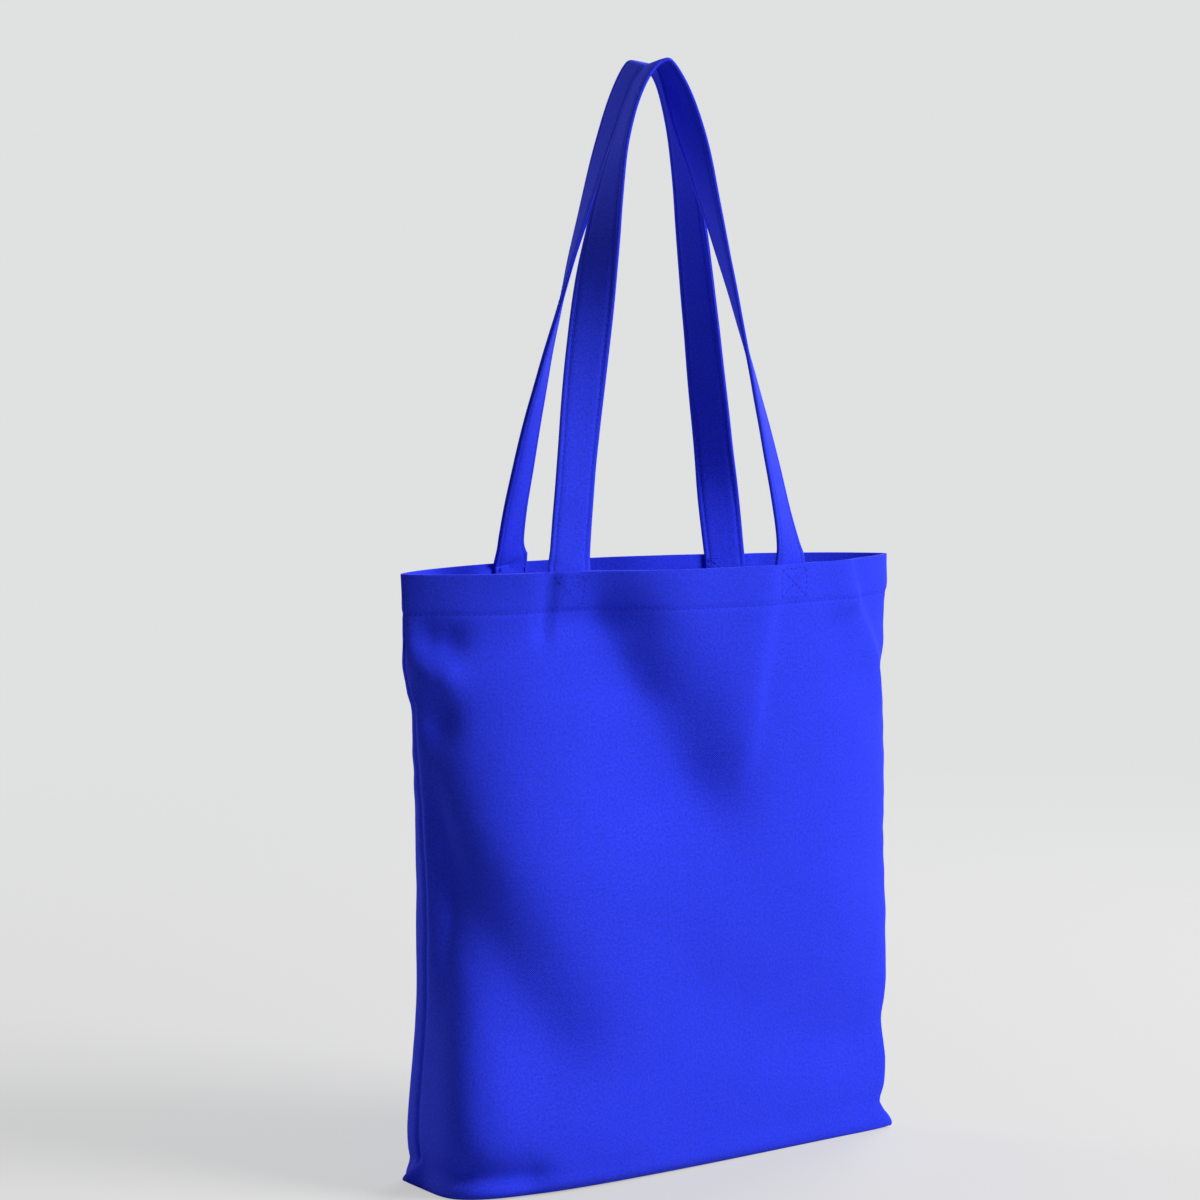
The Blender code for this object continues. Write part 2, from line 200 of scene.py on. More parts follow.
TONE_START = -0.67        # keeps the mean of the dye between deep and bright
CLOTH_ROUGHNESS = 0.76
SLUB_ROUGHNESS = 0.20     # what the slubs add to it
CLOTH_GLOSS = 0.22
DOWN = 0.10               # the soft sheen of the fibres
DOWN_ROUGHNESS = 0.45
DOWN_TINT = (0.10, 0.16, 1.0, 1.0)
RELIEF_STRENGTH = 0.55
RELIEF_DEPTH = 0.0003

# Sewing thread
THREAD_DYE = ((0.008, 0.018, 0.46, 1.0), (0.020, 0.044, 0.85, 1.0))
THREAD_GLOSS = 0.2
THREAD_ROUGHNESS = 0.65
TWIST_ROUGHNESS = 0.10    # what the twist adds to it
TWISTS = 900.0            # how close its turns lie

# Fineness of the meshes
COLUMNS = 140             # faces across one panel
SEAM_CROWDING = 0.86      # how much narrower they are at the side seams
SECTION_POINTS = 900      # points of the curve that a row is measured along
BASE_ROWS = 7
WALL_ROWS = 105
GROOVE_ROWS = (-1.3, -0.7, -0.3, 0.0, 0.3, 0.7, 1.3)    # rows of the hem's groove, in half widths
HEM_ROWS = 14
LEG_STEPS = 90
FOOT_STEPS = 6
STRAP_STOPS = 11          # points across a strap's face
BOX_STOPS = 7             # points along one line of a boxed cross
HEM_STOPS = 400           # points along the hem's stitching
HEM_SPAN = (0.004, 0.996)      # shares of a panel's width where it starts and ends
PROBE_STOPS = 300         # points of a row where a place on a panel is looked up
PROBE_SPAN = (0.04, 0.96)
PROBE = 0.004             # how far off it a panel's slope is taken
SIDE_STEP = 0.01          # share of a row over which the direction of the cloth is taken

# The camera, from the photograph's perspective
LENS = 122.85
CAMERA_PLACE = (-1.3393, -2.3815, 0.6217)
CAMERA_YAW = 28.62
CAMERA_DIP = 5.09

# The studio: each lamp's place, the point it is aimed at, its size, power and colour
LAMPS = (
    ("key", (2.10, -2.26, 2.15), (0.0, 0.0, 0.25), 1.7, 166.0, (1.0, 0.985, 0.96)),
    ("rear", (2.15, 1.75, 1.7), (0.0, 0.0, 0.30), 1.4, 55.0, (0.97, 0.98, 1.0)),
    ("edge", (-1.5, 2.2, 1.3), (0.0, 0.0, 0.30), 1.0, 20.0, (0.97, 0.98, 1.0)),
)
ROOM_LIGHT = (0.93, 0.96, 1.0, 1.0)
ROOM_STRENGTH = 0.17
BACKDROP = (0.745, 0.752, 0.752, 1.0)
FLOOR_REACH = 6.0
FLOOR_GREY = (0.44, 0.44, 0.44, 1.0)
FLOOR_SEEN = (0.97, 0.97, 0.96, 1.0)    # what the camera sees mixed into the floor
FLOOR_LIGHTER = 0.50      # the share of it
FLOOR_FADE = (0.45, 2.2)  # from where and to where the floor fades into the backdrop
FLOOR_ROUGHNESS = 0.9
FLOOR_GLOSS = 0.1


def curve_through(points, share):
    """A smooth curve through points sorted by their first value, read at one share."""
    xs = [p[0] for p in points]
    ys = [p[1] for p in points]
    last = len(points) - 1
    i = min(max(int(np.searchsorted(xs, share, side="right")) - 1, 0), last - 1)
    span = xs[i + 1] - xs[i]
    t = min(max((share - xs[i]) / span, 0.0), 1.0)
    here = (ys[min(i + 1, last)] - ys[max(i - 1, 0)]) / (xs[min(i + 1, last)] - xs[max(i - 1, 0)])
    there = (ys[min(i + 2, last)] - ys[i]) / (xs[min(i + 2, last)] - xs[i])
    return ((1 + 2 * t) * (1 - t) ** 2 * ys[i] + t * (1 - t) ** 2 * span * here
            + t * t * (3 - 2 * t) * ys[i + 1] + t * t * (t - 1) * span * there)


def smooth_step(value):
    """Ease from 0 to 1."""
    value = np.clip(value, 0.0, 1.0)
    return value * value * (3 - 2 * value)


def seam_points(share):
    """X and Y of the left and the right side seam at a share of the height."""
    corner = MOUTH_WIDTH / 2
    left = (-corner + curve_through([(h, inset) for h, inset, _ in LEFT_SEAM], share),
            curve_through([(h, y) for h, _, y in LEFT_SEAM], share))
    right = (corner - curve_through([(h, inset) for h, inset, _ in RIGHT_SEAM], share),
             curve_through([(h, y) for h, _, y in RIGHT_SEAM], share))
    return left, right


def bow_at(front, share):
    """One panel's bow at a share of the height: depth, left share, end shapes and flatness."""
    rim, middle, base = ((FRONT_RIM, FRONT_MIDDLE, FRONT_BASE) if front
                         else (BACK_RIM, BACK_MIDDLE, BACK_BASE))
    if share > MIDDLE_AT:
        low, high, t = middle, rim, smooth_step((share - MIDDLE_AT) / (1 - MIDDLE_AT))
    else:
        low, high, t = base, middle, smooth_step(share / MIDDLE_AT)
    return [a + (b - a) * t for a, b in zip(low, high)]


def fold_lift(front, across, share):
    """How far the folds lift the cloth of one panel outwards along one row."""
    half = MOUTH_WIDTH / 2
    row = np.stack((across * half, np.full_like(across, share * HEIGHT)), 1)
    lift = np.zeros_like(across)
    for (a0, h0), (a1, h1), height, left, right, past in (FRONT_FOLDS if front else BACK_FOLDS):
        run = np.array(((a1 - a0) * half, (h1 - h0) * HEIGHT))
        length = float(np.hypot(*run))
        ahead = run / length
        place = row - (a0 * half, h0 * HEIGHT)
        along = place @ ahead
        beyond = np.maximum(np.maximum(-along, along - length), 0.0)
        beside = place @ np.array((-ahead[1], ahead[0]))
        reach = np.where(beside < 0.0, left, right)
        lift += height * np.exp(-(beside / reach) ** 2 - (beyond / past) ** 2)
    return lift * smooth_step((1 - np.abs(across)) / SEAM_CALM)


def cloth_relief(points, from_seam, z):
    """Slack, ripples and drawn-in seams of the cloth, outwards at each point of a row."""
    off_hem = smooth_step((HEIGHT - HEM_DEPTH - z) / HEM_CALM) * (1 - HEM_SLACK) + HEM_SLACK
    off_base = smooth_step(z / BASE_CALM)
    slack = np.array([noise.noise(Vector(p) / SLACK_SIZE) for p in points]) * SLACK_DEPTH * off_hem
    ripple = np.array([noise.noise(Vector(p) / RIPPLE_SIZE) for p in points]) * RIPPLE_DEPTH
    pucker_at = Vector((PUCKER_PLACE[0], points[0][0] * PUCKER_PLACE[1], z / PUCKER_SIZE))
    beside_seam = np.exp(-((from_seam - PUCKER_REACH / 2) / (PUCKER_REACH / 2)) ** 2)
    pucker = SEAM_PUCKER * noise.noise(pucker_at) * beside_seam
    seam = -SEAM_SINK * np.exp(-(from_seam / SEAM_REACH) ** 2)
    hem = -HEM_SINK * math.exp(-((z - HEIGHT + HEM_DEPTH) / HEM_REACH) ** 2)
    return (slack + ripple + pucker) * off_base + seam + hem


def panel_row(front, z, inset, places):
    """Outer points of one panel at height z, at the given shares of its cloth's width."""
    share = z / HEIGHT
    (left_x, left_y), (right_x, right_y) = seam_points(share)
    depth, skew, left_end, right_end, flatness = bow_at(front, share)
    spread = np.linspace(0.0, 1.0, SECTION_POINTS)
    angle = math.pi * (spread - np.sin(2 * math.pi * spread) / (2 * math.pi))
    along = -np.cos(angle)
    end = left_end + (right_end - left_end) * (1 + along) / 2
    bow = (depth - inset) * (1 - skew * along) * (1 - np.abs(along) ** flatness) ** (end / 2)
    half = (right_x - left_x) / 2 - inset / 2
    xs = (left_x + right_x) / 2 + half * along
    ys = left_y + (right_y - left_y) * (1 + along) / 2 + (-bow if front else bow)
    length = np.concatenate(([0.0], np.cumsum(np.hypot(np.diff(xs), np.diff(ys)))))
    cloth = length[-1]
    length /= cloth
    ahead, behind = np.minimum(places + SIDE_STEP, 1.0), np.maximum(places - SIDE_STEP, 0.0)
    run_x = np.interp(ahead, length, xs) - np.interp(behind, length, xs)
    run_y = np.interp(ahead, length, ys) - np.interp(behind, length, ys)
    outward = np.stack((run_y, -run_x), 1) / np.hypot(run_x, run_y)[:, None] * (1 if front else -1)
    across = 2 * places - 1
    from_seam = 1 - np.abs(across)
    pinch = max(0.0, 1 - z / EAR_HEIGHT) * np.exp(-(from_seam / EAR_SPREAD) ** EAR_FALL)
    points = np.stack((np.interp(places, length, xs), np.interp(places, length, ys),
                       np.full_like(places, z)), 1)
    lift = fold_lift(front, across, share) + cloth_relief(points, from_seam * cloth / 2, z)
    points[:, :2] += outward * lift[:, None]
    points[:, 0] += EAR_LENGTH * pinch * np.sign(across)
    points[:, 2] += np.where(across < 0.0, *EAR_LIFTS) * pinch
    return points


def crowded_places():
    """Shares of a panel's width, closer together at the side seams."""
    even = np.linspace(0.0, 1.0, COLUMNS + 1)
    return even - SEAM_CROWDING * np.sin(2 * math.pi * even) / (2 * math.pi)


def wall_levels():
    """Heights of the rows with the inset of each: the base's turn, the wall and the hem."""
    turns = np.radians(np.linspace(0.0, 90.0, BASE_ROWS, endpoint=False))
    levels = [(BASE_ROUND * (1 - math.cos(a)), BASE_ROUND * (1 - math.sin(a))) for a in turns]
    hem = HEIGHT - HEM_DEPTH
    levels += [(z, 0.0) for z in np.linspace(BASE_ROUND, hem - 2 * HEM_REACH, WALL_ROWS)]
    levels += [(hem + step * HEM_REACH, 0.0) for step in GROOVE_ROWS]
    levels += [(z, 0.0) for z in np.linspace(hem + 2 * HEM_REACH, HEIGHT, HEM_ROWS)]
    return levels


def finish_piece(name, mesh, material):
    """Put a mesh in the scene as one piece of the bag."""
    mesh.materials.append(material)
    mesh.shade_smooth()
    piece = bpy.data.objects.new(name, mesh)
    bpy.context.scene.collection.objects.link(piece)
    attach(piece, "root")
    return piece


def set_grain(mesh, coordinates):
    """The cloth's own coordinates in metres, one pair for each corner of each face."""
    layer = mesh.uv_layers.new(name="grain")
    layer.data.foreach_set("uv", np.asarray(coordinates, np.float32).ravel())


def canvas_rings(places):
    """The rows of the bag's canvas, each once round it from the left side seam over the front."""
    rings = []
    for z, inset in wall_levels():
        front = panel_row(True, z, inset, places)
        back = panel_row(False, z, inset, places)
        seam_left, seam_right = (front[0] + back[0]) / 2, (front[-1] + back[-1]) / 2
        rings.append(np.vstack(([seam_left], front[1:-1], [seam_right], back[-2:0:-1])))
    return rings


def thicken_canvas(bag, shares):
    """Thicken the canvas inwards, more at the hem, and round the fold over its rim."""
    levels = wall_levels()
    count = len(shares)
    top = (len(levels) - 1) * count
    weights = bag.data.attributes.new("bevel_weight_edge", "FLOAT", "EDGE")
    for edge in bag.data.edges:
        if min(edge.vertices) >= top:
            weights.data[edge.index].value = 1.0
    hem = bag.vertex_groups.new(name="hem")
    hem_from = next(k for k, (z, _) in enumerate(levels) if z >= HEIGHT - HEM_DEPTH)
    for i, share in enumerate(shares):
        beside = float(smooth_step(min(share % 1.0, 1.0 - share % 1.0) / HEM_FULL))
        hem.add([row * count + i for row in range(hem_from, len(levels))], beside, "REPLACE")
    thicken = bag.modifiers.new("canvas", "SOLIDIFY")
    thicken.thickness = HEM_THICKNESS
    thicken.offset = -1.0
    thicken.vertex_group = "hem"
    thicken.thickness_vertex_group = CLOTH / HEM_THICKNESS
    rim = bag.modifiers.new("rim", "BEVEL")
    rim.limit_method = "WEIGHT"
    rim.width = RIM_ROUND
    rim.segments = RIM_FACES


def make_canvas(material):
    """The folded canvas of the bag: both panels, the base and the turned hem."""
    places = crowded_places()
    rings = canvas_rings(places)
    count = len(rings[0])
    shares = np.concatenate((places, 2 - places[-2::-1])) * PANEL_CLOTH
    rows = [0.0]
    for low, high in zip(rings, rings[1:]):
        rows.append(rows[-1] + float(np.median(np.linalg.norm(high - low, axis=1))))
    faces, grain = [], []
    for row in range(len(rings) - 1):
        for i in range(count):
            j = (i + 1) % count
            low, high = row * count, (row + 1) * count
            faces.append((low + i, low + j, high + j, high + i))
            u0, u1 = shares[i], shares[i + 1]
            grain += [(u0, rows[row]), (u1, rows[row]), (u1, rows[row + 1]), (u0, rows[row + 1])]
    for i in range(COLUMNS):
        near, far = (i, i + 1), ((count - i) % count, count - i - 1)
        corners = list(dict.fromkeys((near[0], far[0], far[1], near[1])))
        faces.append(tuple(corners))
        grain += [(rings[0][c][0], rings[0][c][1]) for c in corners]
    mesh = bpy.data.meshes.new("bag_canvas")
    mesh.from_pydata(np.vstack(rings).tolist(), [], faces)
    set_grain(mesh, grain)
    bag = finish_piece("bag_canvas", mesh, material)
    thicken_canvas(bag, shares[:count] / PANEL_CLOTH)
    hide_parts("bag_body")


def outer_point(front, x, z):
    """The point of a panel's outer face at X and Z, and the face's normal there."""
    places = np.linspace(*PROBE_SPAN, PROBE_STOPS)
    row = panel_row(front, z, 0.0, places)
    above = panel_row(front, min(z + PROBE, HEIGHT), 0.0, places)
    below = panel_row(front, z - PROBE, 0.0, places)
    left, y, right = np.interp((x - PROBE / 2, x, x + PROBE / 2), row[:, 0], row[:, 1])
    rise = np.interp(x, above[:, 0], above[:, 1]) - np.interp(x, below[:, 0], below[:, 1])
    run_z = min(z + PROBE, HEIGHT) - z + PROBE
    normal = Vector(((right - left) / PROBE, -1.0, rise / run_z)).normalized()
    return Vector((x, y, z)), normal * (1 if front else -1)


def foot_frames(front, side):
    """Centre, across and normal of a strap's sewn foot from its end up to the rim."""
    reach = HEM_THICKNESS + SEWN_GAP + STRAP_THICKNESS / 2
    frames = []
    for z in np.linspace(HEIGHT - FOOT_LENGTH, HEIGHT, FOOT_STEPS):
        x = side * FOOT_SPACING / 2
        left, _ = outer_point(front, x - STRAP_WIDTH / 2, z)
        right, _ = outer_point(front, x + STRAP_WIDTH / 2, z)
        middle, _ = outer_point(front, x, z)
        across = (right - left).normalized()
        inward = Vector((-across.y, across.x, 0.0)).normalized() * (1 if front else -1)
        centre = ((left + right) / 2).lerp(middle, 0.5)
        frames.append((centre + inward * reach, across, inward * (1 if front else -1)))
    return frames


def leg_frames(front, side, foot):
    """Centre, across and normal of one leg from above its foot to the crown."""
    (crown_x, crown_y, rise), slope, lean = FRONT_CROWN if front else BACK_CROWN
    leg = {(True, -1): FRONT_LEFT_LEG, (True, 1): FRONT_RIGHT_LEG,
           (False, -1): BACK_LEFT_LEG, (False, 1): BACK_RIGHT_LEG}[front, side]
    pull, reach, turns = leg
    crown = Vector((crown_x, crown_y, HEIGHT + rise))
    foot_centre, foot_across, _ = foot
    ends = (foot_centre, foot_centre + Vector(pull),
            crown + side * reach * Vector((1.0, slope, 0.0)), crown)
    turn_sign = -1 if front == (side < 0) else 1
    crown_across = turn_sign * Vector((-slope, 1.0, lean)).normalized()
    frames = []
    for step in range(1, LEG_STEPS + 1):
        t = step / LEG_STEPS
        s = 1 - t
        point = (s ** 3 * ends[0] + 3 * s * s * t * ends[1]
                 + 3 * s * t * t * ends[2] + t ** 3 * ends[3])
        heading = (3 * s * s * (ends[1] - ends[0]) + 6 * s * t * (ends[2] - ends[1])
                   + 3 * t * t * (ends[3] - ends[2])).normalized()
        turn = curve_through(tuple(zip(TURNS_AT, turns)), t)
        across = Vector((math.cos(turn), turn_sign * math.sin(turn), 0.0))
        across = across.lerp(foot_across, float(smooth_step(1 - t / FLAT_UNTIL)))
        across = across.lerp(crown_across, float(smooth_step((t - FLAT_FROM) / (1 - FLAT_FROM))))
        across = (across - across.dot(heading) * heading).normalized()
        frames.append((point, across, heading.cross(across).normalized()))
    return frames


def handle_frames(front):
    """Centre, across and normal along a handle, from its left foot over the crown to its right."""
    left_foot, right_foot = foot_frames(front, -1), foot_frames(front, 1)
    left = left_foot + leg_frames(front, -1, left_foot[-1])
    right = right_foot + leg_frames(front, 1, right_foot[-1])
    frames = left + [(p, -a, n) for p, a, n in right[-2::-1]]
    turned = []
    for k, (point, across, _) in enumerate(frames):
        ahead, behind = frames[min(k + 1, len(frames) - 1)][0], frames[max(k - 1, 0)][0]
        turned.append((point, across, (ahead - behind).cross(across).normalized()))
    return turned


def strap_profile():
    """Points round a strap's section, each as its place across and its height off the middle."""
    half, thick = STRAP_WIDTH / 2, STRAP_THICKNESS / 2
    groove = half - STRAP_STITCH_IN
    flat = half - thick
    grooved = [side * (groove + off) for side in (-1, 1) for off in STRAP_STITCH_STOPS]
    top = []
    for a in sorted({*np.linspace(-flat, flat, STRAP_STOPS).tolist(), *grooved}):
        sink = STRAP_STITCH_SINK * math.exp(-((abs(a) - groove) / STRAP_STITCH_REACH) ** 2)
        top.append((a, thick * (1 - STRAP_CROWN * abs(a / half) ** 4) - sink))
    shoulder = top[-1][1]
    fold = [(flat + thick * math.sin(turn), shoulder * math.cos(turn))
            for turn in np.radians(FOLD_TURNS)]
    lip = shoulder / 2
    lower_lip = [(-flat - LIP_START[0] * thick, -shoulder * LIP_START[1]), (-half, -lip),
                 (-half + SLIT_EDGE[0], -SLIT_EDGE[1] * lip)]
    upper_lip = [(a, -b) for a, b in reversed(lower_lip)]
    sewn = lower_lip + [(-half + SLIT_DEPTH, 0.0)] + upper_lip
    return top + fold + [(a, -b) for a, b in reversed(top)] + sewn


def make_handle(name, node, front, material):
    """One folded and topstitched strap from foot to foot."""
    profile = strap_profile()
    frames = handle_frames(front)
    count = len(profile)
    around = [0.0]
    for (a0, b0), (a1, b1) in zip(profile, profile[1:] + profile[:1]):
        around.append(around[-1] + math.hypot(a1 - a0, b1 - b0))
    along = [0.0]
    for (p0, _, _), (p1, _, _) in zip(frames, frames[1:]):
        along.append(along[-1] + (p1 - p0).length)
    waver_seed, bend_seed = FRONT_SEEDS if front else BACK_SEEDS
    points, faces, grain = [], [], []
    for (centre, across, normal), v in zip(frames, along):
        waver = 1 + WAVER * noise.noise(Vector((v / WAVER_SIZE, *waver_seed)))
        bend = BEND * noise.noise(Vector((v / BEND_SIZE, *bend_seed)))
        points += [tuple(centre + across * a * waver + normal * (b + bend)) for a, b in profile]
    for row in range(len(frames) - 1):
        for k in range(count):
            j = (k + 1) % count
            low, high = row * count, (row + 1) * count
            faces.append((low + k, low + j, high + j, high + k))
            u0, u1, v0, v1 = around[k], around[k + 1], along[row], along[row + 1]
            grain += [(u0, v0), (u1, v0), (u1, v1), (u0, v1)]
    last = (len(frames) - 1) * count
    faces += [tuple(range(count))[::-1], tuple(range(last, last + count))]
    grain += [(around[k], 0.0) for k in reversed(range(count))]
    grain += [(around[k], along[-1]) for k in range(count)]
    mesh = bpy.data.meshes.new(name)
    mesh.from_pydata(points, [], faces)
    set_grain(mesh, grain)
    mesh.validate()
    handle = finish_piece(name, mesh, material)
    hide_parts(node)


def stitch_run(points, normals):
    """Split a sewn line into single stitches, each as its points and the cloth's normals there."""
    points = np.array([tuple(p) for p in points])
    normals = np.array([tuple(n) for n in normals])
    steps = np.linalg.norm(np.diff(points, axis=0), axis=1)
    length = np.concatenate(([0.0], np.cumsum(steps)))
    number = max(1, int(length[-1] / STITCH_PITCH))
    pitch = length[-1] / number
    rings_at = np.array([share for share, _, _ in STITCH_RINGS])
    stitches = []
    for k in range(number):
        start = k * pitch + (pitch - STITCH_LENGTH) / 2
        at = start + STITCH_LENGTH * rings_at
        place = np.stack([np.interp(at, length, points[:, c]) for c in range(3)], 1)
        normal = np.stack([np.interp(at, length, normals[:, c]) for c in range(3)], 1)
        stitches.append((place, normal))
    return stitches


def make_stitches(name, runs, material):
    """Lines of stitches, one for each run: small tubes that dip into the cloth at both ends."""
    sides, last = THREAD_SIDES, len(STITCH_RINGS) - 1
    angles = np.linspace(0.0, 2 * math.pi, sides, endpoint=False)
    points, faces, grain = [], [], []
    for run in runs:
        for place, normal in stitch_run(*run):
            start = len(points)
            heading = place[-1] - place[0]
            heading /= np.linalg.norm(heading)
            for ring, (_, thickness, lift) in enumerate(STITCH_RINGS):
                up = normal[ring] - heading * (normal[ring] @ heading)
                up /= np.linalg.norm(up)
                beside = np.cross(heading, up)
                for angle in angles:
                    off = math.cos(angle) * up + math.sin(angle) * beside
                    off *= THREAD / 2 * thickness
                    points.append(tuple(place[ring] + up * (THREAD * lift) + off))
            for ring in range(last):
                for k in range(sides):
                    j = (k + 1) % sides
                    low, high = start + ring * sides, start + (ring + 1) * sides
                    faces.append((low + k, low + j, high + j, high + k))
                    u0, u1 = (n / sides * THREAD * THREAD_ROUND for n in (k, k + 1))
                    v0, v1 = (n * STITCH_LENGTH / last for n in (ring, ring + 1))
                    grain += [(u0, v0), (u1, v0), (u1, v1), (u0, v1)]
            faces.append(tuple(start + k for k in reversed(range(sides))))
            faces.append(tuple(start + last * sides + k for k in range(sides)))
            grain += [(0.0, 0.0)] * (2 * sides)
    mesh = bpy.data.meshes.new(name)
    mesh.from_pydata(points, [], faces)
    set_grain(mesh, grain)
    finish_piece(name, mesh, material)


def hem_runs():
    """The hem's line of stitching, outside and inside, on both panels."""
    z = HEIGHT - HEM_DEPTH
    places = np.linspace(*HEM_SPAN, HEM_STOPS)
    runs = []
    for front in (True, False):
        row = panel_row(front, z, 0.0, places)
        run = np.gradient(row, axis=0)
        outward = np.stack((run[:, 1], -run[:, 0], np.zeros(len(row))), 1) * (1 if front else -1)
        outward /= np.linalg.norm(outward, axis=1)[:, None]
        runs.append((row, outward))
        inside = row - outward * (HEM_THICKNESS + THREAD_OFF) + np.array((0.0, 0.0, INNER_RISE))
        runs.append((inside[INNER_ENDS:-INNER_ENDS], -outward[INNER_ENDS:-INNER_ENDS]))
    return runs


def strap_runs(front):
    """The topstitching along both edges of a handle, on both faces."""
    frames = handle_frames(front)
    groove = STRAP_WIDTH / 2 - STRAP_STITCH_IN
    height = STRAP_THICKNESS / 2 - STRAP_STITCH_SINK
    runs = []
    for edge in (-1, 1):
        for face in (-1, 1):
            line = [p + a * edge * groove + n * face * height for p, a, n in frames]
            runs.append((line, [n * face for _, _, n in frames]))
    return runs


def box_runs(front, side):
    """The boxed cross that holds one foot, on the outside of the hem and on the strap's face."""
    half = STRAP_WIDTH / 2 - BOX_IN
    x = side * FOOT_SPACING / 2
    top, bottom = HEIGHT - BOX_TOP, HEIGHT - BOX_BOTTOM
    corners = ((x - half, bottom), (x + half, bottom), (x + half, top), (x - half, top))
    lines = [(corners[k], corners[(k + 1) % 4]) for k in range(4)]
    lines += [(corners[0], corners[2]), (corners[1], corners[3])]
    depth = HEM_THICKNESS + SEWN_GAP + STRAP_THICKNESS
    runs = []
    for (x0, z0), (x1, z1) in lines:
        outside, inside, normals = [], [], []
        for t in np.linspace(0.0, 1.0, BOX_STOPS):
            point, normal = outer_point(front, x0 + (x1 - x0) * t, z0 + (z1 - z0) * t)
            outside.append(point)
            inside.append(point - normal * (depth + THREAD_OFF))
            normals.append(normal)
        runs.append((outside, normals))
        runs.append((inside, [-n for n in normals]))
    return runs


def new_group(name, setting, value, outputs):
    """A shader node group that reads the cloth's grain and one setting; gives it and its ends."""
    group = bpy.data.node_groups.new(name, "ShaderNodeTree")
    group.interface.new_socket(name="Grain", in_out="INPUT", socket_type="NodeSocketVector")
    made = group.interface.new_socket(name=setting, in_out="INPUT", socket_type="NodeSocketFloat")
    made.default_value = value
    for socket in outputs:
        group.interface.new_socket(name=socket, in_out="OUTPUT", socket_type="NodeSocketFloat")
    return group, group.nodes.new("NodeGroupInput"), group.nodes.new("NodeGroupOutput")


def place_group(tree, group, grain, setting, value):
    """Put a group in a material, with its own setting for the cloth's grain; gives its outputs."""
    node = tree.nodes.new("ShaderNodeGroup")
    node.node_tree = group
    node.inputs[setting].default_value = value
    tree.links.new(grain, node.inputs["Grain"])
    return node.outputs


def feed(tree, socket, value):
    """Set a socket to a number, or link it to another socket."""
    if isinstance(value, (int, float)):
        socket.default_value = value
    else:
        tree.links.new(value, socket)


def add_math(tree, operation, *values):
    """A Math node fed by sockets or numbers; gives its result."""
    node = tree.nodes.new("ShaderNodeMath")
    node.operation = operation
    for socket, value in zip(node.inputs, values):
        feed(tree, socket, value)
    return node.outputs[0]


def add_sum(tree, *values):
    """The sum of several sockets."""
    total = values[0]
    for value in values[1:]:
        total = add_math(tree, "ADD", total, value)
    return total


def add_noise(tree, place, per_metre, detail):
    """Soft noise read at a place; gives its value."""
    node = tree.nodes.new("ShaderNodeTexNoise")
    node.inputs["Detail"].default_value = detail
    feed(tree, node.inputs["Vector"], place)
    feed(tree, node.inputs["Scale"], per_metre)
    return node.outputs[0]


def add_dye(tree, tone, dye):
    """The colour between the deepest and the brightest of a dye that a tone gives."""
    mix = tree.nodes.new("ShaderNodeMix")
    mix.data_type = "RGBA"
    mix.inputs["A"].default_value, mix.inputs["B"].default_value = dye
    tree.links.new(tone, mix.inputs["Factor"])
    return mix.outputs["Result"]


def new_finish(name):
    """A new material; gives it, its tree, its shader and the grain of what it lies on."""
    material = bpy.data.materials.new(name)
    material.use_nodes = True
    tree = material.node_tree
    grain = tree.nodes.new("ShaderNodeUVMap")
    grain.uv_map = "grain"
    return material, tree, tree.nodes["Principled BSDF"], grain.outputs[0]


def weave_group():
    """Plain weave: threads over and under each other, with uneven yarns."""
    group, given, put = new_group("plain_weave", "Thread Pitch", CANVAS_PITCH,
                                  ("Height", "Yarn Tone"))
    split = group.nodes.new("ShaderNodeSeparateXYZ")
    group.links.new(given.outputs["Grain"], split.inputs[0])
    across = add_math(group, "DIVIDE", split.outputs[0], given.outputs["Thread Pitch"])
    along = add_math(group, "DIVIDE", split.outputs[1], given.outputs["Thread Pitch"])
    wave_across = add_math(group, "SINE", add_math(group, "MULTIPLY", across, math.pi))
    wave_along = add_math(group, "SINE", add_math(group, "MULTIPLY", along, math.pi))
    over = add_math(group, "MULTIPLY", wave_across, wave_along)
    group.links.new(add_math(group, "MULTIPLY_ADD", over, 0.5, 0.5), put.inputs["Height"])
    tones = []
    for thread in (across, along):
        yarn = group.nodes.new("ShaderNodeTexWhiteNoise")
        yarn.noise_dimensions = "1D"
        group.links.new(add_math(group, "FLOOR", thread), yarn.inputs["W"])
        tones.append(yarn.outputs["Value"])
    tone = add_math(group, "MULTIPLY", add_sum(group, *tones), 0.5)
    group.links.new(tone, put.inputs["Yarn Tone"])
    return group


def slub_group():
    """Uneven cotton: thick places along the yarns, lint and a soft cloudiness of the dye."""
    group, given, put = new_group("cotton_unevenness", "Slub Size", SLUBS_PER_METRE,
                                  ("Slubs", "Lint", "Cloud"))
    grain = given.outputs["Grain"]
    streaks = []
    for stretch in SLUB_STRETCHES:
        scale = group.nodes.new("ShaderNodeVectorMath")
        scale.operation = "MULTIPLY"
        scale.inputs[1].default_value = stretch
        group.links.new(grain, scale.inputs[0])
        streaks.append(add_noise(group, scale.outputs[0], given.outputs["Slub Size"], SLUB_DETAIL))
    mean = add_math(group, "MULTIPLY", add_sum(group, *streaks), 0.5)
    group.links.new(mean, put.inputs["Slubs"])
    group.links.new(add_noise(group, grain, LINT_PER_METRE, LINT_DETAIL), put.inputs["Lint"])
    group.links.new(add_noise(group, grain, CLOUDS_PER_METRE, CLOUD_DETAIL), put.inputs["Cloud"])
    return group


